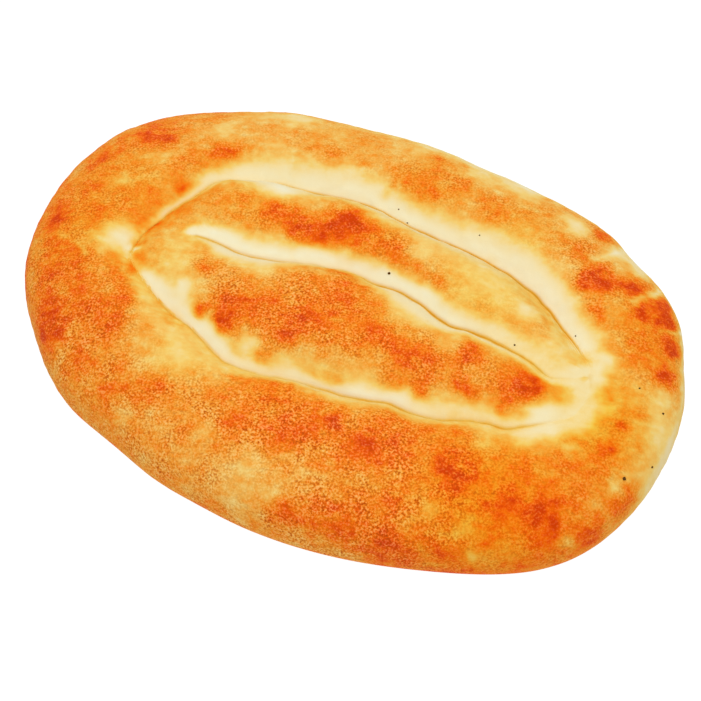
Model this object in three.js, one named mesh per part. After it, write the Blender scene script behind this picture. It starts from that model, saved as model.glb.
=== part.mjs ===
// Matnakash, an oval hand-pressed flatbread, as one solid in millimetres with +Z up.
// The origin is the middle of the flat base, X runs along the loaf and Y across it.
// Three folds, pressed in with wet fingers, run from tip to tip: the far and the near
// one bound a leaf-shaped panel, and the middle one parts it into two ridges. The mesh
// is laid out along these folds, so that each fold is a line of edges.

import * as THREE from "three";
import { ParametricGeometry } from "three/addons/geometries/ParametricGeometry.js";
import { mergeGeometries, mergeVertices } from "three/addons/utils/BufferGeometryUtils.js";

// Driving dimensions: the oval before it was pulled, and the height of its crown
const LENGTH = 333;
const WIDTH = 241;
const HEIGHT = 44;

// Side of the loaf: where it is widest, and how far the base is tucked in below that
const WAIST_HEIGHT = 15;
const BASE_INSET = 9;

// The crown rises from the waist as a rounded, nearly flat-topped arch
const CROWN_FLATNESS = 4;
const CROWN_ROUNDING = 2.4;

// Places where the oval was pulled out (or pushed in) by hand: direction in degrees
// from +X, distance in millimetres and spread in degrees
const PULLS = [
  { toward: 35, out: 11, spread: 29 },
  { toward: 106, out: -2.5, spread: 45 },
  { toward: 129, out: 4, spread: 8 },
  { toward: 157, out: 8, spread: 17 },
  { toward: 227, out: 2, spread: 10 },
  { toward: 336, out: 8.5, spread: 16 },
];

// Folds as [x, y, depth] from the left tip to the right tip
const LEFT_TIP = [-99, -31, 4];
const RIGHT_TIP = [131, 13, 2];
const FAR_FOLD = [
  LEFT_TIP,
  [-103, -14, 8],
  [-94, 22, 9],
  [-88, 38, 9],
  [-62, 50, 10],
  [-46, 51, 10],
  [-31, 56, 12],
  [-14, 58, 12],
  [8, 56, 12],
  [48, 55, 12],
  [75, 50, 12],
  [104, 32, 9],
  [115, 23, 6],
  RIGHT_TIP,
];
const NEAR_FOLD = [
  LEFT_TIP,
  [-73, -45, 8],
  [-44, -54, 9],
  [-33, -59, 9],
  [-22, -59, 9],
  [18, -52, 10],
  [50, -45, 9],
  [64, -45, 9],
  [93, -33, 8],
  [102, -32, 7],
  [117, -21, 4],
  [129, -9, 3],
  RIGHT_TIP,
];
const MIDDLE_FOLD = [
  [...LEFT_TIP.slice(0, 2), 0],
  [-97, -16, 0],
  [-90, -4, 0],
  [-80, -2, 5],
  [-50, 1, 10],
  [-18, 12, 10],
  [-2, 15, 10],
  [14, 14, 10],
  [30, 14, 10],
  [56, 6, 9],
  [62, 8, 9],
  [76, 8, 8],
  [94, 6, 6],
  [118, 1, 3],
  RIGHT_TIP,
];

// The folds lean: the dough slopes gently on the side that LEAN points to
const LEAN = new THREE.Vector2(-0.48, 0.87).normalize();
const GENTLE_FLANK = 28;
const STEEP_FLANK = 14;
const FLANK_POWER = 2;
const FOLD_BLEND = 4;

// Slow waves that make the crown uneven: wave length, height and direction in degrees
const WAVES = [
  { length: 150, height: 0.9, toward: 20, phase: 0.4 },
  { length: 95, height: 0.7, toward: 110, phase: 2.1 },
  { length: 62, height: 0.5, toward: 65, phase: 4.0 },
];

// Mesh counts: along a fold, across a ridge, from fold to waist, and down the side
const ALONG = 60;
const ACROSS_RIDGE = 9;
const ACROSS_RIM = 18;
const DOWN_SIDE = 5;
const SAMPLES_PER_STEP = 10;
const EASING = 0.5;
const WELD = 1e-3;

const { cos, sin, atan2, hypot, pow, exp, max, PI } = Math;
const { degToRad, lerp, euclideanModulo, clamp } = THREE.MathUtils;

// A fold as a smooth curve whose z is the fold's depth.
function foldCurve(points) {
  const curve = new THREE.CatmullRomCurve3(points.map((p) => new THREE.Vector3(...p)));
  curve.arcLengthDivisions = ALONG * SAMPLES_PER_STEP;
  return curve;
}

const farFold = foldCurve(FAR_FOLD);
const nearFold = foldCurve(NEAR_FOLD);
const middleFold = foldCurve(MIDDLE_FOLD);
const foldSamples = [farFold, nearFold, middleFold].map((fold) =>
  fold.getSpacedPoints(ALONG * SAMPLES_PER_STEP),
);

// The panel's middle and half size, which spread the rim's lines round the loaf.
const panelBox = new THREE.Box3().setFromPoints(foldSamples.flat());
const panelMiddle = panelBox.getCenter(new THREE.Vector3());
const panelHalf = panelBox.getSize(new THREE.Vector3()).multiplyScalar(0.5);

// Distance from the origin to the waist in a direction: an ellipse with the pulls added.
function reach(direction) {
  const [a, b] = [LENGTH / 2, WIDTH / 2];
  const ellipse = (a * b) / hypot(b * cos(direction), a * sin(direction));
  return PULLS.reduce((sum, { toward, out, spread }) => {
    const turn = euclideanModulo(direction - degToRad(toward) + PI, 2 * PI) - PI;
    return sum + out * exp(-pow(turn / degToRad(spread), 2));
  }, ellipse);
}

// How far a fold draws the dough down at (x, y): deepest on the fold, none past its flank.
function foldDepth(samples, x, y) {
  const nearest = samples.reduce((best, p) =>
    hypot(p.x - x, p.y - y) < hypot(best.x - x, best.y - y) ? p : best,
  );
  const offset = new THREE.Vector2(x - nearest.x, y - nearest.y);
  const distance = offset.length();
  const facing = distance > 0 ? offset.dot(LEAN) / distance : 0;
  const flank = lerp(STEEP_FLANK, GENTLE_FLANK, (1 + facing) / 2);
  return max(nearest.z, 0) * pow(clamp(1 - distance / flank, 0, 1), FLANK_POWER);
}

// What all folds together draw down, blended softly so that the ridge between two is round.
function pressedIn(x, y) {
  const sum = foldSamples.reduce((total, samples) => {
    return total + pow(foldDepth(samples, x, y), FOLD_BLEND);
  }, 0);
  return pow(sum, 1 / FOLD_BLEND);
}

// Height of the crust over (x, y): the crown with its slow waves, less what is pressed in.
function crustHeight(x, y) {
  const out = clamp(hypot(x, y) / reach(atan2(y, x)), 0, 1);
  const crown = pow(1 - pow(out, CROWN_FLATNESS), 1 / CROWN_ROUNDING);
  const unevenness = WAVES.reduce((sum, { length, height, toward, phase }) => {
    const along = x * cos(degToRad(toward)) + y * sin(degToRad(toward));
    return sum + height * sin((2 * PI * along) / length + phase);
  }, 0);
  return WAIST_HEIGHT + crown * (HEIGHT - WAIST_HEIGHT + unevenness - pressedIn(x, y));
}

// Puts target on the crust, at a share of the way from one plan point to another.
function setOnCrust(target, from, to, share) {
  const x = lerp(from.x, to.x, share);
  const y = lerp(from.y, to.y, share);
  target.set(x, y, crustHeight(x, y));
}

// Share of the way with the steps drawn together at both ends, where the crust is steep.
function eased(v) {
  return lerp(v, (1 - cos(PI * v)) / 2, EASING);
}

// The closed line round the panel: out along the far fold and back along the near one.
function panelEdge(u) {
  return u <= 0.5 ? farFold.getPointAt(2 * u) : nearFold.getPointAt(2 - 2 * u);
}

// The waist beyond a point of the panel's edge, pulled in towards the base by inset.
function waistBeyond(edge, inset = 0) {
  const turn = atan2((edge.y - panelMiddle.y) / panelHalf.y, (edge.x - panelMiddle.x) / panelHalf.x);
  const direction = atan2(WIDTH * sin(turn), LENGTH * cos(turn));
  const distance = reach(direction) - inset;
  return new THREE.Vector2(distance * cos(direction), distance * sin(direction));
}

function ridge(lowerFold, upperFold) {
  const surface = (u, v, target) =>
    setOnCrust(target, lowerFold.getPointAt(u), upperFold.getPointAt(u), eased(v));
  return new ParametricGeometry(surface, ALONG, ACROSS_RIDGE);
}

function rim() {
  const surface = (u, v, target) => {
    const edge = panelEdge(u);
    setOnCrust(target, edge, waistBeyond(edge), eased(v));
  };
  return new ParametricGeometry(surface, 2 * ALONG, ACROSS_RIM);
}

function side() {
  const surface = (u, v, target) => {
    const turn = (v * PI) / 2;
    const { x, y } = waistBeyond(panelEdge(u), BASE_INSET * (1 - cos(turn)));
    target.set(x, y, WAIST_HEIGHT * (1 - sin(turn)));
  };
  return new ParametricGeometry(surface, 2 * ALONG, DOWN_SIDE);
}

function base() {
  const surface = (u, v, target) => {
    const { x, y } = waistBeyond(panelEdge(u), BASE_INSET);
    target.set(x * (1 - v), y * (1 - v), 0);
  };
  return new ParametricGeometry(surface, 2 * ALONG, 1);
}

// One closed skin from several patches: shared vertices welded, collapsed triangles dropped.
function closedSkin(patches) {
  const joined = mergeGeometries(patches);
  joined.deleteAttribute("normal");
  joined.deleteAttribute("uv");
  const skin = mergeVertices(joined, WELD);
  const kept = [];
  const corners = skin.index.array;
  for (let i = 0; i < corners.length; i += 3) {
    const [a, b, c] = corners.slice(i, i + 3);
    if (a !== b && b !== c && c !== a) kept.push(a, b, c);
  }
  skin.setIndex(kept);
  skin.computeVertexNormals();
  return skin;
}

// Moves a skin so that the middle of its box stands over the origin.
function centred(skin) {
  skin.computeBoundingBox();
  const middle = skin.boundingBox.getCenter(new THREE.Vector3());
  return skin.translate(-middle.x, -middle.y, 0);
}

const crust = new THREE.MeshStandardMaterial({ color: 0xe39a45, roughness: 0.75, metalness: 0 });

const skin = closedSkin([
  ridge(middleFold, farFold),
  ridge(nearFold, middleFold),
  rim(),
  side(),
  base(),
]);
const loaf = new THREE.Mesh(centred(skin), crust);
loaf.name = "loaf";

const matnakash = new THREE.Group();
matnakash.name = "matnakash";
matnakash.add(loaf);

export default matnakash;
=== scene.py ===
# %% [markdown]
# # A matnakash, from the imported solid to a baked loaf
# Matnakash is an oval leavened bread. The baker wets the fingers, presses a ring and a
# line into the risen dough, and bakes it hot: the high parts brown and blister, and the
# pressed folds stay pale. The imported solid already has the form, so this lesson keeps
# its size and place, and adds what the solid lacks: a smooth skin, sharp creases, lumps
# and blisters, and a crust whose colour follows the baking.

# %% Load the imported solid
import math

import bmesh
import bpy
import numpy as np
from mathutils import Color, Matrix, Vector
from mathutils.kdtree import KDTree
from mathutils.noise import noise_vector, seed_set


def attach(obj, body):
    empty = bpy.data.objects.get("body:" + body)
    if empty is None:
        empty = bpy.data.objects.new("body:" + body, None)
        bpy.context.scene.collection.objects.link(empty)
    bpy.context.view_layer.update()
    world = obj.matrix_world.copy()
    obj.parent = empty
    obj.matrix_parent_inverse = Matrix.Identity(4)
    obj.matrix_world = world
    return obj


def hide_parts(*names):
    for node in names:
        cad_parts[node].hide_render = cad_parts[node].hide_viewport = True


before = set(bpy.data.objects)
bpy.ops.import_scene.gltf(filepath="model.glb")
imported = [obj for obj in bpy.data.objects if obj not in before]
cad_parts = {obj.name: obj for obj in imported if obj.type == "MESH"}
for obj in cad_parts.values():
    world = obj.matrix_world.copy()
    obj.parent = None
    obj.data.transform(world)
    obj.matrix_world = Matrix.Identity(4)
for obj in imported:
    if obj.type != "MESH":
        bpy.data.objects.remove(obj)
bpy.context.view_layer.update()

MM = 0.001

# %% [markdown]
# ## The camera
# The loaf is seen from above its near right side. The direction, distance and lens come
# from fitting the loaf's outline, so that a place on the crust falls where the eye expects
# it. The loaf sits a little left of and above the middle of the picture, so the camera
# looks at a point beside the loaf's own middle and needs no lens shift.

# %% Place the camera
CAMERA_AZIMUTH = math.radians(29.0)
CAMERA_ELEVATION = math.radians(52.0)
CAMERA_DISTANCE = 0.801
CAMERA_LENS = 85.0
LOAF_MIDDLE = Vector((-1.0, 0.8, 22.0)) * MM
FRAMING_RIGHT = 5.0 * MM
FRAMING_DOWN = 18.9 * MM

to_camera = Vector((
    math.sin(CAMERA_AZIMUTH) * math.cos(CAMERA_ELEVATION),
    -math.cos(CAMERA_AZIMUTH) * math.cos(CAMERA_ELEVATION),
    math.sin(CAMERA_ELEVATION),
))
camera_right = Vector((math.cos(CAMERA_AZIMUTH), math.sin(CAMERA_AZIMUTH), 0.0))
camera_up = to_camera.cross(camera_right)
eye = LOAF_MIDDLE + CAMERA_DISTANCE * to_camera
look_at = LOAF_MIDDLE + FRAMING_RIGHT * camera_right - FRAMING_DOWN * camera_up

bpy.ops.object.camera_add(location=eye)
camera = bpy.context.object
camera.rotation_euler = (look_at - eye).to_track_quat("-Z", "Y").to_euler()
camera.data.lens = CAMERA_LENS
bpy.context.scene.camera = camera
print("camera at", [round(c, 3) for c in eye])

# %% [markdown]
# ## The dough
# The dough is one soft closed skin. It could be sculpted anew, but then the picture and
# the solid would drift apart, so a copy of the solid is the start: its loose triangles are
# welded and joined to quads that run along the folds. A fold is the only place where the
# skin turns sharply inwards, so the fold edges are picked by their inward angle, and told
# apart by the crests of the two ridges that lie between them. A creased edge stays sharp
# when the rest is rounded, and a vertex group remembers where each fold runs.

# %% Weld a copy of the solid
WELD_DISTANCE = 0.01 * MM
QUAD_ANGLE = math.radians(50)


def select_only(piece):
    bpy.ops.object.select_all(action="DESELECT")
    piece.select_set(True)
    bpy.context.view_layer.objects.active = piece


crust = bpy.data.objects.new("crust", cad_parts["loaf"].data.copy())
bpy.context.scene.collection.objects.link(crust)
select_only(crust)
bpy.ops.object.mode_set(mode="EDIT")
bpy.ops.mesh.select_all(action="SELECT")
bpy.ops.mesh.customdata_custom_splitnormals_clear()
bpy.ops.mesh.remove_doubles(threshold=WELD_DISTANCE)
bpy.ops.mesh.tris_convert_to_quads(face_threshold=QUAD_ANGLE, shape_threshold=QUAD_ANGLE)
dough = bmesh.from_edit_mesh(crust.data)
quads = sum(len(face.verts) == 4 for face in dough.faces)
print("dough:", len(dough.faces), "faces,", quads, "of them quads")

# %% Find the three folds and crease them; a crest is a line of (x mm, y mm)
FOLDS = ("far", "middle", "near")
FOLD_ANGLE = math.radians(16)
FOLD_FLOOR = 20 * MM
MIDDLE_START = -80 * MM
FULL_CREASE = 1.0
UPPER_CREST = [
    (-110, -26), (-95, -26), (-88, 10), (-85, 22), (0, 35), (76, 29), (104, 19), (133, 6),
]
LOWER_CREST = [(-110, -28), (-73, -23), (-34, -28), (5, -22), (65, -18), (100, -13), (133, 5)]


def crest_at(crest, x):
    along, across = np.array(crest).T * MM
    return np.interp(x, along, across)


def fold_of(edge):
    middle = (edge.verts[0].co + edge.verts[1].co) / 2
    if middle.z < FOLD_FLOOR or edge.calc_face_angle_signed(0.0) > -FOLD_ANGLE:
        return None
    if middle.y > crest_at(UPPER_CREST, middle.x):
        return "far"
    if middle.y < crest_at(LOWER_CREST, middle.x):
        return "near"
    return "middle" if middle.x > MIDDLE_START else None


for name in FOLDS:
    bpy.ops.mesh.select_all(action="DESELECT")
    dough = bmesh.from_edit_mesh(crust.data)
    dough.select_mode = {"EDGE"}
    for edge in dough.edges:
        edge.select = fold_of(edge) == name
    dough.select_flush_mode()
    bmesh.update_edit_mesh(crust.data)
    bpy.ops.transform.edge_crease(value=FULL_CREASE)
    bpy.ops.object.vertex_group_add()
    crust.vertex_groups.active.name = name
    bpy.ops.object.vertex_group_assign()
    print(name, "fold:", sum(edge.select for edge in dough.edges), "edges")

# %% Rub out the notches where the folds begin and end, as (x mm, y mm, radius mm)
NOTCHES = [(-88, 0, 13), (126, 5, 17)]
RUBS = 40
RUB_STRENGTH = 0.5


def in_notch(point):
    near = any((point.xy / MM - Vector((x, y))).length < radius for x, y, radius in NOTCHES)
    return near and point.z > FOLD_FLOOR


bpy.ops.mesh.select_all(action="DESELECT")
dough = bmesh.from_edit_mesh(crust.data)
dough.select_mode = {"VERT"}
for corner in dough.verts:
    corner.select = in_notch(corner.co)
print("points in the notches:", sum(corner.select for corner in dough.verts))
dough.select_flush_mode()
bmesh.update_edit_mesh(crust.data)
bpy.ops.mesh.vertices_smooth(factor=RUB_STRENGTH, repeat=RUBS)
bpy.ops.transform.edge_crease(value=-FULL_CREASE)
bpy.ops.object.mode_set(mode="OBJECT")

# %% Round the dough
SMOOTHING_LEVELS = 2

bpy.ops.object.modifier_add(type="SUBSURF")
rounding = crust.modifiers[-1]
rounding.levels = SMOOTHING_LEVELS
rounding.render_levels = SMOOTHING_LEVELS
bpy.ops.object.modifier_apply(modifier=rounding.name)
print("rounded dough:", len(crust.data.polygons), "faces")

# %% Read what the folds left on the finer mesh
ON_FOLD = 0.99


def vertex_places(mesh):
    places = np.empty(len(mesh.vertices) * 3)
    mesh.vertices.foreach_get("co", places)
    return places.reshape(-1, 3)


def group_weights(piece, name):
    group = piece.vertex_groups[name]
    weights = np.zeros(len(piece.data.vertices))
    for vertex in piece.data.vertices:
        for entry in vertex.groups:
            if entry.group == group.index:
                weights[vertex.index] = entry.weight
    return weights


fold_weight = {name: group_weights(crust, name) for name in FOLDS}
places = vertex_places(crust.data)
print("points on the folds:", {name: int((fold_weight[name] > ON_FOLD).sum()) for name in FOLDS})

# %% [markdown]
# ## The outline and the folds' paths
# Hands leave the rim a little uneven. A few nudges, each a direction, a distance and a
# spread, push the side out or in by about two millimetres at most and fade out towards the
# folds. The folds waver too, as a finger's path does, by less than a millimetre, and two
# pulls move the near fold by about two millimetres where the finger strayed. A sculpting
# brush could do this, but moves in code can be read and changed one by one. The noise
# gets a fixed seed, so that the loaf comes out the same each time.

# %% Nudge the rim, as (degrees from +X, mm outwards, spread in degrees)
NUDGES = [
    (-40, 1.9, 42), (17, -0.8, 5), (27, 1.5, 6), (33, 0.8, 3), (41, -1.2, 4),
    (48, 0.8, 4), (78, -1.6, 14), (-120, -1.4, 10), (-95, -0.6, 8), (-150, -0.6, 8),
    (-174, -0.9, 6),
]
RIM_START = 0.55
RIM_FULL = 0.95
# Metres, so that nothing is divided by zero
SHORTEST = 1e-6


def ramp(values, low, high):
    share = np.clip((values - low) / (high - low), 0.0, 1.0)
    return share * share * (3.0 - 2.0 * share)


def plan_directions(points):
    return np.degrees(np.arctan2(points[:, 1], points[:, 0]))


def turn_from(directions, toward):
    return (directions - toward + 180.0) % 360.0 - 180.0


half_size = np.abs(places[:, :2]).max(axis=0)
on_rim = ramp(np.hypot(*(places[:, :2] / half_size).T), RIM_START, RIM_FULL)
directions = plan_directions(places)
nudge = np.zeros(len(places))
for toward, distance, spread_angle in NUDGES:
    nudge += distance * MM * np.exp(-(turn_from(directions, toward) / spread_angle) ** 2)
nudge *= on_rim
outward = places[:, :2] / np.maximum(np.hypot(*places[:, :2].T), SHORTEST)[:, None]
places[:, :2] += outward * nudge[:, None]
print("rim nudged by", round(nudge.min() / MM, 1), "to", round(nudge.max() / MM, 1), "mm")

# %% Let the folds waver, then pull them, as (x, y, move in x, move in y, radius), all in mm
NOISE_SEED = 4
FOLD_WAVER = 0.8 * MM
FOLD_WAVER_SIZE = 9 * MM
FOLD_PULLS = [(8, -58, -0.9, 1.6, 12), (33, -51, 1.0, -1.9, 13)]


def move_vertices(mesh, places):
    mesh.vertices.foreach_set("co", places.ravel())
    mesh.update()


seed_set(NOISE_SEED)
waver = np.array([noise_vector(Vector(place) / FOLD_WAVER_SIZE)[:2] for place in places])
places[:, :2] += FOLD_WAVER * waver * (1.0 - on_rim)[:, None]
for x, y, pull_x, pull_y, radius in FOLD_PULLS:
    pulled = np.exp(-(np.hypot(places[:, 0] / MM - x, places[:, 1] / MM - y) / radius) ** 2)
    places[:, :2] += MM * pulled[:, None] * (pull_x, pull_y)
move_vertices(crust.data, places)
print("folds waver by up to", round(FOLD_WAVER * np.abs(waver).max() / MM, 1), "mm")

# %% [markdown]
# ## Lumps, blisters and wrinkles
# Gas in the dough leaves slow lumps, the oven's heat raises small blisters, and at four
# places of the rim the skin drew into a short wrinkle. All are real relief: lumps and
# blisters are Displace modifiers with procedural textures in the loaf's own coordinates,
# applied to the mesh, and a wrinkle lowers the points along a short stroke. A group keeps
# the relief off the base, which stays flat.

# %% Raise the lumps and blisters
SIDE_START = 4 * MM
SIDE_FULL = 14 * MM
RELIEF = [
    {"name": "lumps", "type": "CLOUDS", "size": 26 * MM, "height": 1.3 * MM},
    {"name": "dimples", "type": "CLOUDS", "size": 9 * MM, "height": 0.5 * MM},
    {"name": "blisters", "type": "STUCCI", "size": 4 * MM, "height": 0.35 * MM},
]


def set_group(piece, name, weights):
    group = piece.vertex_groups.new(name=name)
    for index, weight in enumerate(weights):
        group.add([index], float(weight), "REPLACE")


set_group(crust, "relief", ramp(places[:, 2], SIDE_START, SIDE_FULL))
select_only(crust)
for relief in RELIEF:
    texture = bpy.data.textures.new(relief["name"], relief["type"])
    texture.noise_scale = relief["size"]
    bpy.ops.object.modifier_add(type="DISPLACE")
    displace = crust.modifiers[-1]
    displace.texture = texture
    displace.texture_coords = "LOCAL"
    displace.strength = relief["height"]
    displace.vertex_group = "relief"
    bpy.ops.object.modifier_apply(modifier=displace.name)
bpy.ops.object.shade_smooth()
places = vertex_places(crust.data)
print("loaf height in mm:", round(places[:, 2].max() / MM, 1))

# %% Press in the wrinkles, as (x, y, to x, to y, width, all in mm, and how much paler)
WRINKLES = [
    (125, 63, 132, 81, 2.5, -0.40), (140, 55, 149, 65, 1.5, -0.30),
    (99, 78, 105, 97, 2.5, -0.20), (-138, -30, -118, -38, 1.5, -0.20),
]
WRINKLE_DEPTH = 0.4 * MM


def stroke_shape(points, x, y, to_x, to_y, width):
    start = np.array((x, y)) * MM
    way = np.array((to_x, to_y)) * MM - start
    share = np.clip((points[:, :2] - start) @ way / (way @ way), 0.0, 1.0)
    aside = np.linalg.norm(points[:, :2] - start - share[:, None] * way, axis=1)
    upper = ramp(points[:, 2], SIDE_START, SIDE_FULL)
    return upper * np.exp(-(aside / (width * MM)) ** 2)


for *ends, width, _ in WRINKLES:
    places[:, 2] -= WRINKLE_DEPTH * stroke_shape(places, *ends, width)
move_vertices(crust.data, places)
print("wrinkles:", len(WRINKLES), "each", round(WRINKLE_DEPTH / MM, 1), "mm deep")

# %% [markdown]
# ## How the crust browned
# Colour on a loaf is a story of heat: the high crown browns first, a pressed fold was wet
# and sheltered and stays cream, and here and there the oven scorched a patch. It could be
# painted by hand, but an attribute that runs from 0, raw cream, to 1, scorched, can be
# worked out from the folds, from short lists of dabs and from the slope of the side.
#
# The pale bands come first. One lies on each side of a fold, and its width and tone change
# on the way, so a table follows each fold from left to right.

# %% Rows along each fold
# A row is a place along the fold in mm, the band's width in mm and tone on the far side,
# the same on the near side, and how strongly the crease's painted shade shows as a line.
ALONG_FOLD = {
    "far": [
        (-140, 3, 0.20, 0, 0.50, 0.6), (-113, 4, 0.20, 0, 0.50, 0.7), (-100, 5, 0.15, 6, 0.25, 0.3),
        (-84, 8, 0.10, 9, 0.20, 0.1), (-70, 12, 0.10, 16, 0.08, 0.05), (-55, 13, 0.12, 16, 0.10, 0.3),
        (-42, 14, 0.08, 13, 0.16, 0.6), (-25, 14, 0.06, 11, 0.22, 0.7), (-10, 12, 0.06, 13, 0.16, 0.8),
        (15, 12, 0.05, 17, 0.14, 0.9), (30, 11, 0.06, 17, 0.14, 1.0), (50, 13, 0.06, 15, 0.18, 1.0),
        (70, 15, 0.05, 12, 0.24, 1.0), (83, 15, 0.05, 8, 0.35, 1.0), (91, 14, 0.06, 7, 0.35, 1.0),
        (98, 12, 0.06, 6, 0.30, 0.8), (104, 9, 0.08, 6, 0.25, 0.4), (108, 6, 0.12, 6, 0.20, 0.05),
        (112, 4, 0.18, 6, 0.15, 0.0),
    ],
    "middle": [
        (-82, 4, 0.14, 2, 0.35, 0.2), (-78, 6, 0.08, 5, 0.30, 0.5), (-72, 9, 0.04, 9, 0.20, 0.6),
        (-64, 10, 0.04, 14, 0.10, 0.7), (-45, 10, 0.04, 17, 0.10, 0.6), (-30, 10, 0.04, 13, 0.16, 0.4),
        (-18, 9, 0.05, 9, 0.24, 0.3), (0, 8, 0.05, 5, 0.36, 0.3), (14, 10, 0.05, 11, 0.20, 0.8),
        (28, 9, 0.05, 15, 0.12, 0.9), (44, 8, 0.06, 14, 0.12, 1.0), (55, 9, 0.07, 9, 0.14, 1.0),
        (72, 7, 0.15, 8, 0.16, 0.9), (86, 8, 0.20, 8, 0.20, 0.9), (102, 9, 0.24, 6, 0.25, 0.8),
        (109, 8, 0.20, 4, 0.20, 0.2), (118, 8, 0.15, 4, 0.20, 0.0),
    ],
    "near": [
        (-99, 3, 0.10, 3, 0.40, 0.1), (-88, 7, 0.07, 8, 0.35, 0.25), (-75, 8, 0.08, 11, 0.34, 0.45),
        (-62, 9, 0.06, 13, 0.34, 0.5), (-49, 9, 0.06, 15, 0.32, 0.5), (-36, 9, 0.07, 13, 0.32, 0.5),
        (-22, 6, 0.10, 8, 0.32, 0.3), (-8, 5, 0.12, 7, 0.28, 0.3), (6, 5, 0.10, 8, 0.22, 0.3),
        (16, 5, 0.08, 11, 0.24, 0.5), (30, 6, 0.03, 11, 0.26, 0.7), (46, 7, 0.02, 11, 0.28, 0.6),
        (55, 9, 0.07, 9, 0.28, 0.7), (70, 9, 0.18, 10, 0.30, 0.5), (84, 9, 0.20, 9, 0.34, 0.5),
        (98, 6, 0.22, 12, 0.30, 0.8), (106, 6, 0.20, 13, 0.20, 0.6), (112, 9, 0.10, 12, 0.14, 0.4),
        (117, 13, 0.10, 11, 0.14, 0.1), (122, 10, 0.18, 9, 0.22, 0.0),
    ],
}
print("rows along the folds:", {name: len(rows) for name, rows in ALONG_FOLD.items()})

# %% Measure every point against its nearest fold
# The far fold turns down at both ends, so its stations also count how far down they lie.
FAR_FOLD_LEVEL = 45
FAR_FOLD_TURN = 0.5
# Noise that makes the edges of bands and dabs ragged, as (size, amount)
WAVER = [(14 * MM, 3.0 * MM), (5 * MM, 1.2 * MM)]


def wavered(points):
    moved = points.copy()
    for size, amount in WAVER:
        moved += amount * np.array([noise_vector(Vector(point) / size) for point in points])
    return moved


def nearest_points(points):
    tree = KDTree(len(points))
    for index, point in enumerate(points):
        tree.insert(point, index)
    tree.balance()
    return np.array([tree.find(place)[0] for place in places])


def fold_station(name, points):
    turned = FAR_FOLD_TURN * (points[:, 1] / MM - FAR_FOLD_LEVEL) if name == "far" else 0.0
    return points[:, 0] / MM + turned


soft_places = wavered(places)
fold_points = {name: nearest_points(places[fold_weight[name] > ON_FOLD]) for name in FOLDS}
print("ragged by up to", round(np.abs(soft_places - places).max() / MM, 1), "mm")

# %% Lay the pale bands, the painted shade of the creases and the smooth lips
# The direction over the loaf that parts a fold's far side from its near side
AWAY = np.array([-math.sin(CAMERA_AZIMUTH), math.cos(CAMERA_AZIMUTH)])
SIDE_BLEND = 0.35
# How gradually each band fades out, as a share of its width
SOFTNESS = {"far": 0.75, "middle": 0.55, "near": 0.6}
BAND_FRINGE = 0.5 * MM
BAND_WAVER = 0.8
# The crease's shade is painted: a thin dark line in a golden glow, which is wider on the near side
LINE_POWER = 3
FAR_SHADE_GLOW = 0.9 * MM
NEAR_SHADE_GLOW = 2.0 * MM
LIP_WIDTH = 13 * MM


def mix(first, second, share):
    return first + (second - first) * share


def pale_band(name):
    offset = places - fold_points[name]
    along, *columns = np.array(ALONG_FOLD[name]).T
    station = fold_station(name, fold_points[name])
    values = [np.interp(station, along, column) for column in columns]
    far_width, far_tone, near_width, near_tone, shade_line_share = values
    facing = offset[:, :2] @ AWAY / np.maximum(np.hypot(offset[:, 0], offset[:, 1]), SHORTEST)
    far_side = ramp(facing, -SIDE_BLEND, SIDE_BLEND)
    reach = mix(near_width, far_width, far_side) * MM
    distance = np.linalg.norm(offset, axis=1)
    ragged = distance + BAND_WAVER * (soft_places - places)[:, 0]
    soft = SOFTNESS[name]
    band = 1.0 - ramp(ragged, (1.0 - soft) * reach, (1.0 + soft) * reach + BAND_FRINGE)
    tone = mix(near_tone, far_tone, far_side)
    shade_glow = shade_line_share * np.exp(-(distance / mix(NEAR_SHADE_GLOW, FAR_SHADE_GLOW, far_side)) ** 2)
    # The dark line along the fold is painted shade
    shade_line = shade_line_share * fold_weight[name] ** LINE_POWER
    lip = np.exp(-(distance / LIP_WIDTH) ** 2)
    return band, tone, shade_glow, shade_line, lip


bands = {}
crease_shade_glow = np.zeros(len(places))
crease_shade = np.zeros(len(places))
lips = np.zeros(len(places))
for name in FOLDS:
    band, tone, shade_glow, shade_line, lip = pale_band(name)
    bands[name] = (band, tone)
    crease_shade_glow = np.maximum(crease_shade_glow, shade_glow)
    crease_shade = np.maximum(crease_shade, shade_line)
    lips = np.maximum(lips, lip)
print("pale share:", {name: round(float(band.mean()), 3) for name, (band, _) in bands.items()})

# %% [markdown]
# ### Dabs of baking
# No two loaves brown alike. The crown starts at one even tone, and each dab makes a round
# patch with a ragged edge darker or paler. The pale bands are laid over the dabs, and a
# few touches are set on top of the bands, where browning runs into a fold.

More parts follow.
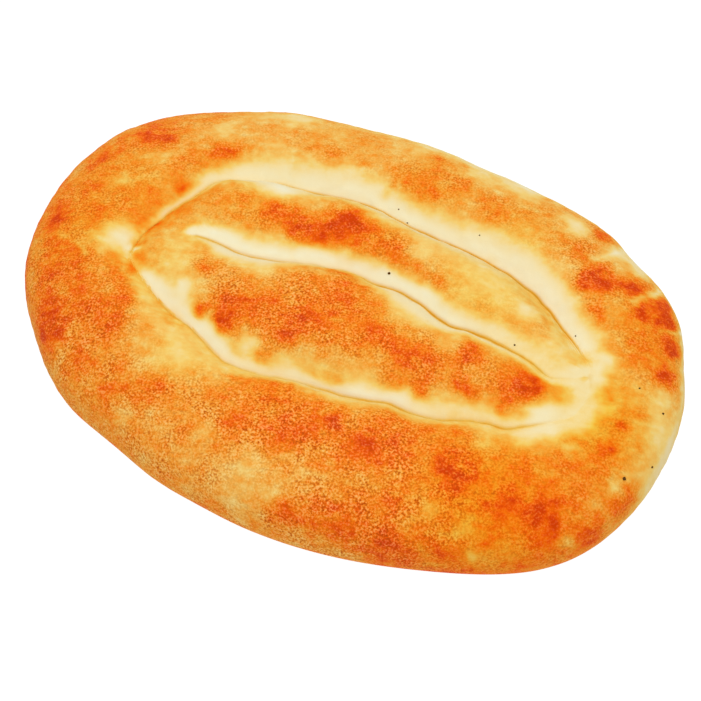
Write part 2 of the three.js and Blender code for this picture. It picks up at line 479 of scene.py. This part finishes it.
# %% Dabs on the rim and the ridges, as (x mm, y mm, radius mm, how much more or less)
DABS = {
    # The broad tone is partly painted light and shade: darker on the near rim, paler on the far rim
    "broad tone": [
        (-20, -90, 60, 0.07), (90, -85, 55, 0.10), (0, -20, 42, 0.10), (62, -18, 34, 0.08),
        (62, 36, 30, -0.27), (0, 90, 55, -0.07), (-140, -20, 45, 0.10), (138, -52, 29, 0.12),
        (-104, -59, 15, 0.13), (-128, -50, 11, 0.15), (69, 74, 9, -0.10), (-35, -101, 10, -0.10),
        (-80, 68, 28, -0.06), (-91, -78, 22, 0.08), (150, -15, 20, 0.10),
    ],
    "far rim": [
        (-95, 89, 12, -0.20), (-75, 95, 10, -0.32), (-51, 99, 9, -0.08), (-7, 102, 8, -0.12),
        (23, 104, 12, -0.10), (49, 105, 11, -0.24), (80, 94, 9, -0.38), (103, 89, 8, -0.25),
        (114, 92, 9, -0.30), (-105, 66, 8, -0.22), (-76, 82, 4, -0.15), (-49, 87, 6, -0.12),
        (-32, 66, 10, -0.10), (3, 80, 14, 0.18), (8, 71, 5, 0.16), (4, 96, 7, 0.14),
        (0, 101, 5, 0.14), (15, 102, 5, 0.14), (19, 88, 7, 0.22), (-49, 72, 8, 0.14),
        (41, 82, 9, 0.17), (94, 99, 6, 0.28), (-11, 70, 4, 0.42), (-54, 69, 5, -0.12),
        (-82, 32, 5, -0.20), (73, 90, 4, 0.18), (66, 71, 5, 0.18), (87, 59, 4, 0.12),
        (-96, 56, 4, -0.12), (-75, 67, 4, -0.18), (-50, 75, 4, -0.12), (-40, 93, 8, 0.06),
        (68, 60, 6, -0.12), (-67, 52, 5, 0.08), (-50, 58, 6, -0.06),
    ],
    "right rim": [
        (106, 66, 9, 0.38), (119, 75, 8, 0.27), (134, 63, 10, 0.43), (149, 51, 7, 0.42),
        (154, 32, 7, 0.36), (141, 30, 5, 0.14), (91, 80, 7, 0.20), (99, 58, 8, 0.36),
        (110, 45, 7, 0.36), (147, -5, 4, 0.20), (145, -20, 5, 0.28), (159, -11, 5, 0.10),
        (162, -34, 8, 0.32), (138, 75, 4, 0.25), (142, 65, 4, 0.38), (130, 55, 4, 0.20),
        (137, 38, 9, 0.12), (144, 41, 4, 0.08), (152, 7, 4, 0.22), (113, 63, 4, 0.18),
        (108, 74, 3, 0.12), (124, 74, 6, 0.10), (167, -8, 24, -0.25), (157, 22, 7, -0.20),
        (97, 78, 4, -0.20), (119, 86, 5, -0.20), (157, -32, 5, -0.35), (113, 79, 5, -0.22),
        (120, 67, 4, 0.28), (128, 68, 3, -0.10), (130, 20, 6, -0.24), (117, 49, 5, -0.14),
        (119, 33, 6, -0.20), (139, 1, 5, -0.10), (131, -15, 8, -0.22), (143, 14, 8, -0.12),
        (160, 8, 10, -0.16), (161, -26, 4, -0.22), (143, -20, 5, -0.12), (135, -29, 5, -0.12),
    ],
    "left rim": [
        (-114, -80, 11, 0.36), (-121, -69, 8, 0.28), (-147, -23, 8, 0.20), (-89, -90, 7, 0.14),
        (-85, -70, 9, 0.20), (-84, -56, 6, 0.18), (-68, -61, 7, 0.12), (-154, -11, 5, 0.20),
        (-58, -68, 5, 0.18), (-132, -56, 7, 0.12), (-141, -37, 6, 0.10), (-107, -75, 4, 0.14),
        (-49, -76, 5, 0.10), (-89, -47, 5, 0.08), (-46, -90, 3, 0.12), (-121, -25, 8, -0.20),
        (-108, -21, 11, -0.52), (-59, -104, 6, -0.14), (-102, -94, 4, -0.12), (-112, -33, 4, -0.15),
    ],
    "upper left rim": [
        (-149, 23, 10, 0.20), (-135, 46, 12, 0.27), (-95, 51, 8, 0.26), (-106, 33, 9, 0.08),
        (-100, 21, 4, 0.25), (-148, 39, 4, 0.15), (-125, 47, 4, 0.22), (-121, 32, 8, -0.16),
        (-130, 10, 6, -0.18), (-98, 30, 3, -0.15),
    ],
    "near rim": [
        (-62, -60, 17, -0.28), (-43, -69, 14, -0.26), (-52, -77, 10, -0.10), (-25, -69, 6, -0.10),
        (-14, -65, 4, -0.12), (-60, -110, 10, -0.06), (-44, -115, 9, -0.06), (-18, -119, 9, -0.10),
        (9, -112, 16, -0.12), (15, -98, 20, -0.12), (-15, -98, 6, -0.26), (-16, -110, 8, -0.10),
        (27, -111, 6, -0.16), (50, -100, 4, -0.24), (36, -107, 5, -0.10), (26, -102, 3, -0.12),
        (41, -84, 4, -0.10), (-48, -88, 8, 0.18), (-69, -99, 9, 0.12), (-8, -92, 11, 0.12),
        (16, -88, 8, 0.24), (18, -79, 10, 0.16), (4, -68, 9, 0.12), (30, -75, 9, 0.20),
        (2, -85, 10, 0.11), (36, -70, 5, 0.10), (46, -77, 6, 0.18), (65, -64, 7, 0.07),
    ],
    "near right rim": [
        (53, -74, 9, 0.18), (94, -66, 11, 0.20), (33, -113, 9, 0.28), (56, -107, 12, 0.20),
        (46, -114, 6, 0.10), (80, -103, 11, 0.24), (117, -69, 9, 0.14), (134, -63, 10, 0.20),
        (140, -74, 12, 0.10), (156, -55, 10, 0.20), (119, -84, 4, 0.22), (100, -34, 4, 0.20),
        (74, -89, 4, 0.12), (100, -96, 5, 0.18), (55, -62, 12, 0.14), (84, -62, 7, 0.14),
        (82, -94, 5, -0.12), (90, -86, 5, -0.28), (115, -90, 4, -0.35), (123, -32, 7, -0.12),
        (106, -86, 4, -0.20), (150, -64, 4, -0.28), (142, -65, 4, 0.14), (150, -47, 5, -0.15),
        (132, -30, 4, -0.25), (97, -44, 9, -0.11), (101, -20, 5, -0.18), (88, -25, 5, -0.22),
    ],
    "upper ridge": [
        (-49, 28, 9, 0.28), (-34, 25, 9, 0.29), (-23, 27, 8, 0.24), (-17, 39, 9, 0.42),
        (-6, 38, 6, 0.28), (10, 35, 9, 0.30), (-13, 28, 9, 0.12), (0, 38, 3, 0.18),
        (14, 24, 3, 0.14), (22, 27, 5, 0.10), (37, 22, 6, 0.10), (43, 24, 8, 0.10),
        (63, 20, 7, 0.12), (84, 30, 6, -0.24), (99, 27, 4, -0.18), (25, 38, 7, -0.15),
        (105, 15, 12, -0.30), (-21, 43, 4, -0.12), (-43, 17, 5, -0.20), (-42, 40, 3, -0.12),
    ],
    "lower ridge": [
        (-41, -41, 5, 0.36), (-54, -42, 4, 0.25), (-33, -33, 12, 0.19), (-11, -32, 11, 0.12),
        (-5, -23, 10, 0.15), (3, -2, 10, 0.15), (29, -15, 13, 0.12), (51, -21, 11, 0.16),
        (71, -7, 7, 0.22), (76, -22, 7, 0.18), (95, -14, 10, 0.20), (103, -7, 7, 0.27),
        (-63, -22, 4, 0.20), (-57, -15, 3, 0.12), (62, -38, 3, 0.15), (-46, -29, 4, 0.20),
        (5, -45, 9, -0.30), (-6, -48, 6, -0.34), (15, -44, 6, -0.18), (-23, -47, 6, -0.46),
        (18, -38, 6, -0.12), (-74, -28, 8, -0.20), (-82, -14, 15, -0.22), (33, -1, 11, -0.24),
        (43, -7, 6, -0.10), (60, -6, 8, -0.24), (83, 1, 4, -0.12), (79, -16, 5, -0.18),
        (29, -39, 9, -0.32), (67, -31, 4, -0.20), (-60, -33, 6, -0.16), (-68, -35, 5, -0.36),
        (89, -22, 4, -0.12), (-10, 4, 5, -0.20), (-35, -13, 7, -0.12), (-32, -23, 3, -0.10),
    ],
}
print("dabs:", sum(len(dabs) for dabs in DABS.values()))

# %% Touches that reach into the pale bands, in the same form
TOUCHES = {
    "left tip": [
        (-102, -18, 4, 0.36), (-105, -8, 4, 0.24), (-101, -2, 4, 0.15), (-97, 8, 4, 0.12),
        (-97, -28, 4, 0.20), (-93, -37, 5, 0.38), (-80, 7, 4, -0.20), (-94, -21, 4, 0.10),
    ],
    "near fold": [
        (-53, -41, 3, 0.55), (-42, -42, 4, 0.35), (-38, -46, 4, 0.30), (-62, -50, 6, 0.14),
        (60, -36, 4, 0.20), (76, -35, 4, 0.05), (106, -23, 3, 0.12), (105, -39, 5, 0.12),
    ],
    "right tip": [
        (134, 6, 5, 0.20), (126, 25, 4, -0.20), (118, 21, 5, 0.18), (107, -12, 5, 0.32),
        (121, -4, 6, 0.06),
    ],
    "far fold": [
        (-58, 40, 7, -0.15), (-23, 43, 3, -0.18), (-8, 23, 5, 0.16), (-12, 65, 3, 0.15),
        (52, 56, 4, 0.08),
    ],
}
DAB_EDGE = 2.5


def dab_shape(x, y, radius):
    upper = places[:, 2] > SIDE_FULL
    aside = np.hypot(places[:, 0] - x * MM, places[:, 1] - y * MM)
    centre = places[np.argmin(np.where(upper, aside, np.inf))]
    apart = np.linalg.norm(soft_places - centre, axis=1) / (radius * MM)
    return np.exp(-apart ** DAB_EDGE)


print("touches:", sum(len(dabs) for dabs in TOUCHES.values()))

# %% [markdown]
# ### The steep edge and the base
# The edge took the heat unevenly: the left end browned and the right edge stayed pale.
# The paler far edge and the darker near edge are partly painted light and shade. A table
# goes once round the loaf. The slope that it speaks of is the upward part of the surface's
# normal, which is 1 on flat crust, 0 on an upright side and -1 on the base. Lower on the
# side the paleness has a limit, and the base, which lay on the hot floor of the oven, is
# evenly browner.

# %% Tone of the edge, as (degrees from +X, how much more or less, slope where it starts)
# Partly painted light and shade: paler towards the far side, darker towards the near side
EDGE_TONE = [
    (-180, 0.32, 0.5), (-165, 0.3, 0.5), (-150, 0.0, 0.3), (-130, -0.02, 0.25),
    (-110, 0.0, 0.25), (-95, 0.02, 0.2), (-80, -0.05, 0.25), (-68, -0.05, 0.25),
    (-45, 0.1, 0.2), (-28, 0.02, 0.1), (-15, -0.05, 0.35), (0, -0.18, 0.5),
    (10, -0.34, 0.6), (20, -0.42, 0.55), (40, -0.42, 0.6), (55, -0.38, 0.7),
    (70, -0.48, 0.8), (95, -0.46, 0.8), (112, -0.36, 0.75), (128, -0.1, 0.7),
    (142, 0.14, 0.68), (156, 0.32, 0.68), (180, 0.32, 0.5),
]
EDGE_SOFTNESS = 0.3
SIDE_TONE = -0.22
SIDE_SLOPES = (0.1, 0.45)
BASE_TONE = 0.15
BASE_SLOPES = (-0.7, 0.0)


def vertex_normals(mesh):
    normals = np.empty(len(mesh.vertices) * 3)
    mesh.vertices.foreach_get("normal", normals)
    return normals.reshape(-1, 3)


def edge_tone():
    directions = plan_directions(places)
    around, *columns = np.array(EDGE_TONE).T
    amount, start = [np.interp(directions, around, column) for column in columns]
    slope = vertex_normals(crust.data)[:, 2]
    amount = mix(np.maximum(amount, SIDE_TONE), amount, ramp(slope, *SIDE_SLOPES))
    steep = 1.0 - ramp(slope, start - EDGE_SOFTNESS, start + EDGE_SOFTNESS)
    return amount * on_rim * steep + BASE_TONE * (1.0 - ramp(slope, *BASE_SLOPES))


edge = edge_tone()
print("edge tone from", round(float(edge.min()), 2), "to", round(float(edge.max()), 2))

# %% Add the baking up and keep it on the mesh
CROWN_BAKE = 0.58
CREASE_SHADE_BAKE = 0.45
DARKEST_BAKE = 0.92


def store(piece, name, values):
    attribute = piece.data.attributes.new(name, "FLOAT", "POINT")
    attribute.data.foreach_set("value", values.astype(np.float32))


baked = np.full(len(places), CROWN_BAKE) + edge
for dabs in DABS.values():
    for x, y, radius, amount in dabs:
        baked += amount * dab_shape(x, y, radius)
for *ends, width, paler in WRINKLES:
    baked += paler * stroke_shape(soft_places, *ends, width)
for band, tone in bands.values():
    baked += (tone - baked) * band
for dabs in TOUCHES.values():
    for x, y, radius, amount in dabs:
        baked += amount * dab_shape(x, y, radius)
# The golden glow beside each crease is painted shade, darker towards the fold
baked += np.maximum(CREASE_SHADE_BAKE - baked, 0.0) * crease_shade_glow
baked = np.clip(baked, 0.0, DARKEST_BAKE)
store(crust, "baked", baked)
# The crease attribute holds the painted shade line along the folds
store(crust, "crease_shade", crease_shade)
print("baked from", round(float(baked.min()), 2), "to", round(float(baked.max()), 2))

# %% [markdown]
# ### Where the crust is blistered and where it is glazed
# Before baking, the loaf is brushed with a thin flour paste. In some places it dries to a
# grain of tiny blisters, in others it bakes to a smooth yellow glaze. Two more attributes
# hold how much of each there is. The near side is the most blistered, the far side and the
# right end less, and a dusting of flour adds to it on the near rim. The lips beside the
# folds, which the wet fingers smoothed, are glazed and have hardly any blisters.

# %% Blisters and glaze, with dustings and glazes as (x mm, y mm, radius mm, how much)
NEAR_BLISTERS = (-80 * MM, 20 * MM)
FAR_BLISTERED = 0.7
RIGHT_BLISTERS = (85 * MM, 125 * MM)
RIGHT_BLISTERED = 0.6
DUSTED = [(-20, -98, 45, 0.1), (60, -100, 30, 0.15)]
LIP_SMOOTHED = 0.85
LIP_GLAZED = 0.6
GLAZED = [
    (133, -8, 30, 1.0), (112, -72, 38, 1.0), (138, 52, 26, 0.5), (62, 32, 30, 0.6),
    (-5, 38, 22, 0.4), (-65, 28, 22, 0.4), (-124, 8, 26, 0.5), (-84, -24, 24, 0.4),
    (-45, 85, 22, 0.15), (10, 78, 22, 0.4), (58, 72, 22, 0.5), (-45, -66, 18, 0.5),
    (0, -63, 13, 0.5), (32, -56, 11, 0.4), (-130, -20, 30, 0.6), (30, -15, 34, 0.2),
]

near_side = ramp(-(places[:, :2] @ AWAY), *NEAR_BLISTERS)
right_side = ramp(places[:, 0], *RIGHT_BLISTERS)
blistered = mix(FAR_BLISTERED, 1.0, near_side) * mix(1.0, RIGHT_BLISTERED, right_side)
for x, y, radius, amount in DUSTED:
    blistered += amount * dab_shape(x, y, radius)
blistered *= 1.0 - LIP_SMOOTHED * lips
glazed = LIP_GLAZED * lips
for x, y, radius, amount in GLAZED:
    glazed = np.maximum(glazed, amount * dab_shape(x, y, radius))
store(crust, "blistered", blistered)
store(crust, "glazed", glazed)
print("blistered:", round(float(blistered.mean()), 2), "glazed:", round(float(glazed.mean()), 2))

# %% [markdown]
# ## The crust's finish
# One material serves the whole loaf. Nodes give it grain at any distance and need no
# picture file. The material starts from the baking, and breaks it up with clouds and
# mottling of browning and with streaks along the way that the dough was pulled. It looks
# the result up on a ramp of crust colours, adds the blisters as pale specks and dark
# pores, yellows the glaze, and paints the shade of the creases as dark gold lines.

# %% Start the crust's finish: a material is built up by adding nodes and setting their inputs
def new_finish(name):
    finish = bpy.data.materials.new(name)
    finish.use_nodes = True
    return finish


def set_inputs(finish, node, inputs):
    for name, value in inputs.items():
        if isinstance(value, bpy.types.NodeSocket):
            finish.node_tree.links.new(value, node.inputs[name])
        else:
            node.inputs[name].default_value = value


def add_node(finish, kind, inputs, **settings):
    node = finish.node_tree.nodes.new(kind)
    for name, value in settings.items():
        setattr(node, name, value)
    set_inputs(finish, node, inputs)
    return node


finish = new_finish("baked_crust")
print("finish started:", finish.name)

# %% Break the baking up: each noise is (size, detail, roughness, stretch) and an amount
CLOUDS = (10 * MM, 4.0, 0.6, 1.0)
CLOUD_AMOUNT = 0.56
MOTTLE = (4 * MM, 3.0, 0.6, 1.0)
MOTTLE_AMOUNT = 0.46
STREAKS = (4 * MM, 3.0, 0.6, 5.0)
STREAK_AMOUNT = 0.3
# The streaks run this way, from +X
PULL_DIRECTION = math.radians(20)
# Pale crust varies little, and browned crust in full
BROWNED = (0.1, 0.5)
PALE_VARIATION = 0.1


def attribute(finish, name):
    return add_node(finish, "ShaderNodeAttribute", {}, attribute_name=name).outputs["Fac"]


def noise(finish, size, detail, roughness=0.5, stretch=1.0):
    place = add_node(finish, "ShaderNodeTexCoord", {}).outputs["Object"]
    turned = {
        "Vector": place,
        "Rotation": (0.0, 0.0, PULL_DIRECTION),
        "Scale": (stretch, 1.0, 1.0),
    }
    mapping = add_node(finish, "ShaderNodeMapping", turned, vector_type="TEXTURE")
    pattern = {
        "Vector": mapping.outputs["Vector"],
        "Scale": 1.0 / size,
        "Detail": detail,
        "Roughness": roughness,
    }
    return add_node(finish, "ShaderNodeTexNoise", pattern).outputs["Fac"]


def maths(finish, operation, *values):
    numbered = dict(enumerate(values))
    return add_node(finish, "ShaderNodeMath", numbered, operation=operation).outputs["Value"]


def centred(finish, value, amount):
    return maths(finish, "MULTIPLY_ADD", value, amount, -amount / 2)


def spread(finish, value, low, high, to_low=0.0, to_high=1.0):
    limits = {
        "Value": value,
        "From Min": low,
        "From Max": high,
        "To Min": to_low,
        "To Max": to_high,
    }
    node = add_node(finish, "ShaderNodeMapRange", limits, interpolation_type="SMOOTHSTEP")
    return node.outputs["Result"]


baking = attribute(finish, "baked")
clouds = centred(finish, noise(finish, *CLOUDS), CLOUD_AMOUNT)
mottle = centred(finish, noise(finish, *MOTTLE), MOTTLE_AMOUNT)
streaks = centred(finish, noise(finish, *STREAKS), STREAK_AMOUNT)
variation = maths(finish, "ADD", maths(finish, "ADD", clouds, mottle), streaks)
browned = spread(finish, baking, *BROWNED)
varied = maths(finish, "MULTIPLY_ADD", browned, 1.0 - PALE_VARIATION, PALE_VARIATION)
browning = maths(finish, "MULTIPLY_ADD", variation, varied, baking)
print("nodes for the browning:", len(finish.node_tree.nodes))

# %% Blisters: the grain's high parts are pale specks, and its low parts dark pores
# A range is (from low, from high) and, where it has four numbers, also (to low, to high)
GRAIN_SIZE = 1.0 * MM
GRAIN_DETAIL = 3.0
PATCH_SIZE = 12 * MM
PATCH_DETAIL = 2.0
PATCHES = (0.35, 0.65, 0.7, 1.3)
TOASTED = (0.15, 0.65)
SPECKS = (0.47, 0.70)
PORES = (0.54, 0.32)
SPECK_LIGHTENING = 0.12

grain = noise(finish, GRAIN_SIZE, GRAIN_DETAIL)
patches = spread(finish, noise(finish, PATCH_SIZE, PATCH_DETAIL), *PATCHES)
blisters = attribute(finish, "blistered")
toasted = maths(finish, "MULTIPLY", spread(finish, baking, *TOASTED), blisters)
patchy = maths(finish, "MULTIPLY", toasted, patches)
specks = maths(finish, "MULTIPLY", spread(finish, grain, *SPECKS), patchy)
pores = maths(finish, "MULTIPLY", spread(finish, grain, *PORES), patchy)
speckled = maths(finish, "MULTIPLY_ADD", specks, -SPECK_LIGHTENING, browning)
print("nodes with the blisters:", len(finish.node_tree.nodes))

# %% Colours from raw cream to scorched, as the eye sees them, and the tints laid over them
BAKING_COLOURS = [
    (0.00, (236, 232, 204)),
    (0.15, (236, 218, 166)),
    (0.30, (236, 201, 115)),
    (0.45, (236, 175, 78)),
    (0.60, (238, 149, 42)),
    (0.74, (240, 122, 15)),
    (0.86, (235, 92, 2)),
    (0.97, (211, 60, 0)),
]
SPECK_COLOUR = (255, 202, 142)
SPECK_SHARE = (0.6, 0.95, 0.28, 0.20)
PORE_COLOUR = (178, 74, 14)
PORE_SHARE = (0.3, 0.7, 0.20, 0.70)
GLAZE_COLOUR = (255, 245, 158)
GLAZE_SHARE = (0.15, 0.45)
# The crease colour is painted shade: a dark gold line where each fold lies in shadow
CREASE_SHADE_COLOUR = (200, 136, 20)
CREASE_SHADE_SHARE = 0.85
BRIGHTEST = 255.0
NEW_STOP = 0.5


def linear(colour):
    seen = Color([channel / BRIGHTEST for channel in colour])
    return (*seen.from_srgb_to_scene_linear(), 1.0)


def colour_ramp(finish, value, colours):
    node = add_node(finish, "ShaderNodeValToRGB", {"Fac": value})
    stops = node.color_ramp.elements
    while len(stops) < len(colours):
        stops.new(NEW_STOP)
    for stop, (position, colour) in zip(stops, colours):
        stop.position = position
        stop.color = linear(colour)
    return node.outputs["Color"]


def tint(finish, base, colour, share, blend="MIX"):
    inputs = {"Factor": share, "A": base, "B": linear(colour)}
    node = add_node(finish, "ShaderNodeMix", inputs, data_type="RGBA", blend_type=blend)
    return node.outputs["Result"]


speck_share = maths(finish, "MULTIPLY", specks, spread(finish, baking, *SPECK_SHARE))
pore_share = maths(finish, "MULTIPLY", pores, spread(finish, baking, *PORE_SHARE))
glaze = attribute(finish, "glazed")
glaze_share = maths(finish, "MULTIPLY", glaze, spread(finish, baking, *GLAZE_SHARE))
# Painted shade along the folds
crease_shade_share = maths(finish, "MULTIPLY", attribute(finish, "crease_shade"), CREASE_SHADE_SHARE)
skin = colour_ramp(finish, speckled, BAKING_COLOURS)
skin = tint(finish, skin, SPECK_COLOUR, speck_share)
skin = tint(finish, skin, PORE_COLOUR, pore_share)
skin = tint(finish, skin, GLAZE_COLOUR, glaze_share, "MULTIPLY")
skin = tint(finish, skin, CREASE_SHADE_COLOUR, crease_shade_share)
print("nodes with the colours:", len(finish.node_tree.nodes))

# %% Gloss and fine bumps
CRUST_SPECULAR = 0.02
CRUST_ROUGHNESS = (0.2, 0.9, 0.8, 0.6)
GRAIN_HEIGHT = 0.3
BUMP_STRENGTH = 0.5
BUMP_DISTANCE = 0.4 * MM


def shade(finish, inputs):
    set_inputs(finish, finish.node_tree.nodes["Principled BSDF"], inputs)


height = maths(finish, "ADD", maths(finish, "MULTIPLY", grain, GRAIN_HEIGHT), mottle)
bumps = {"Strength": BUMP_STRENGTH, "Distance": BUMP_DISTANCE, "Height": height}
shade(finish, {
    "Base Color": skin,
    "Specular IOR Level": CRUST_SPECULAR,
    "Roughness": spread(finish, speckled, *CRUST_ROUGHNESS),
    "Normal": add_node(finish, "ShaderNodeBump", bumps).outputs["Normal"],
})
crust.data.materials.clear()
crust.data.materials.append(finish)
print("crust finish:", len(finish.node_tree.nodes), "nodes")

# %% [markdown]
# ## Specks of char
# Crumbs of flour fall on the wet dough and burn to tiny dark specks. They could be dots
# in the material, but crumbs set into the crust stand up to a close look, and keep their
# place when the finish changes. Each starts as a small ball, is squashed, and gets an
# uneven skin from a seeded random move of its points. Its finish is mottled soot.

# %% Set the crumbs into the crust, as (x mm, y mm, radius mm)
CHAR = [
    (15, 21, 0.7), (-1, 62, 0.4), (6, 58, 0.4), (42, 65, 0.4), (86, 11, 0.5), (108, 32, 0.4),
    (146, 18, 0.5), (160, 14, 0.6), (166, -12, 0.6), (158, -27, 0.9),
]
CHAR_SUBDIVISIONS = 2
CHAR_FLATNESS = 0.6
CHAR_UNEVENNESS = 0.3
RAY_START = 1.0
DOWN = Vector((0.0, 0.0, -1.0))


def crust_height(x, y):
    _, place, _, _ = crust.ray_cast(Vector((x, y, RAY_START)), DOWN)
    return place.z


crumbs = []
for seed, (x, y, radius) in enumerate(CHAR):
    centre = Vector((x * MM, y * MM, crust_height(x * MM, y * MM)))
    bpy.ops.mesh.primitive_ico_sphere_add(
        subdivisions=CHAR_SUBDIVISIONS, radius=radius * MM, location=centre
    )
    crumb = bpy.context.object
    crumb.scale.z = CHAR_FLATNESS
    bpy.ops.object.mode_set(mode="EDIT")
    bpy.ops.transform.vertex_random(offset=CHAR_UNEVENNESS * radius * MM, seed=seed)
    bpy.ops.object.mode_set(mode="OBJECT")
    crumbs.append(crumb)
select_only(crumbs[0])
for crumb in crumbs:
    crumb.select_set(True)
bpy.ops.object.join()
char = bpy.context.object
char.name = "char"
bpy.ops.object.transform_apply(location=True, rotation=True, scale=True)
bpy.ops.object.shade_smooth()
print("char:", len(CHAR), "specks")

# %% Finish of the char
CHAR_GRAIN = (0.4 * MM, 2.0)
CHAR_COLOURS = [(0.35, (62, 38, 14)), (0.65, (106, 70, 28))]
CHAR_ROUGHNESS = 0.8
CHAR_SPECULAR = 0.05

soot = new_finish("char")
shade(soot, {
    "Base Color": colour_ramp(soot, noise(soot, *CHAR_GRAIN), CHAR_COLOURS),
    "Roughness": CHAR_ROUGHNESS,
    "Specular IOR Level": CHAR_SPECULAR,
})
char.data.materials.append(soot)
print("char finish:", len(soot.node_tree.nodes), "nodes")

# %% [markdown]
# ## Stage and light
# The loaf lies on a plain white floor in soft studio light that casts hardly a shadow. A
# white surround lights it from all sides, a large softbox hangs above, and a weaker one
# stands behind, for the far rim. The floor glows evenly, which keeps it white right up to
# the loaf and leaves no grey ring round it.

# %% Floor
FLOOR_SIZE = 6.0
FLOOR_COLOUR = (0.1, 0.1, 0.1, 1.0)
FLOOR_ROUGHNESS = 0.9
FLOOR_SPECULAR = 0.0
FLOOR_GLOW = 1.0
WHITE = (1.0, 1.0, 1.0, 1.0)

bpy.ops.mesh.primitive_plane_add(size=FLOOR_SIZE)
floor = bpy.context.object
floor.name = "floor"
white = new_finish("floor_white")
shade(white, {
    "Base Color": FLOOR_COLOUR,
    "Roughness": FLOOR_ROUGHNESS,
    "Specular IOR Level": FLOOR_SPECULAR,
    "Emission Color": WHITE,
    "Emission Strength": FLOOR_GLOW,
})
floor.data.materials.append(white)
print("floor:", FLOOR_SIZE, "m square")

# %% Surround and softboxes, each softbox as its place in metres and its power in watts
SURROUND_STRENGTH = 0.54
SOFTBOX_SIZE = 0.8
SOFTBOXES = [((0.1, -0.2, 1.4), 10.9), ((-0.6, 1.0, 0.7), 2.2)]

surround = bpy.data.worlds.new("surround")
surround.use_nodes = True
background = surround.node_tree.nodes["Background"]
background.inputs["Color"].default_value = WHITE
background.inputs["Strength"].default_value = SURROUND_STRENGTH
bpy.context.scene.world = surround

for place, power in SOFTBOXES:
    bpy.ops.object.light_add(type="AREA", location=place)
    softbox = bpy.context.object
    softbox.data.size = SOFTBOX_SIZE
    softbox.data.energy = power
    softbox.rotation_euler = (-softbox.location).to_track_quat("-Z", "Y").to_euler()
bpy.context.scene.view_settings.view_transform = "Standard"
print("softboxes:", len(SOFTBOXES))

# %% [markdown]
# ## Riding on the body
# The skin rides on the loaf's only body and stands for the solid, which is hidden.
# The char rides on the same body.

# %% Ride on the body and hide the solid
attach(crust, "root")
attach(char, "root")
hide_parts("loaf")
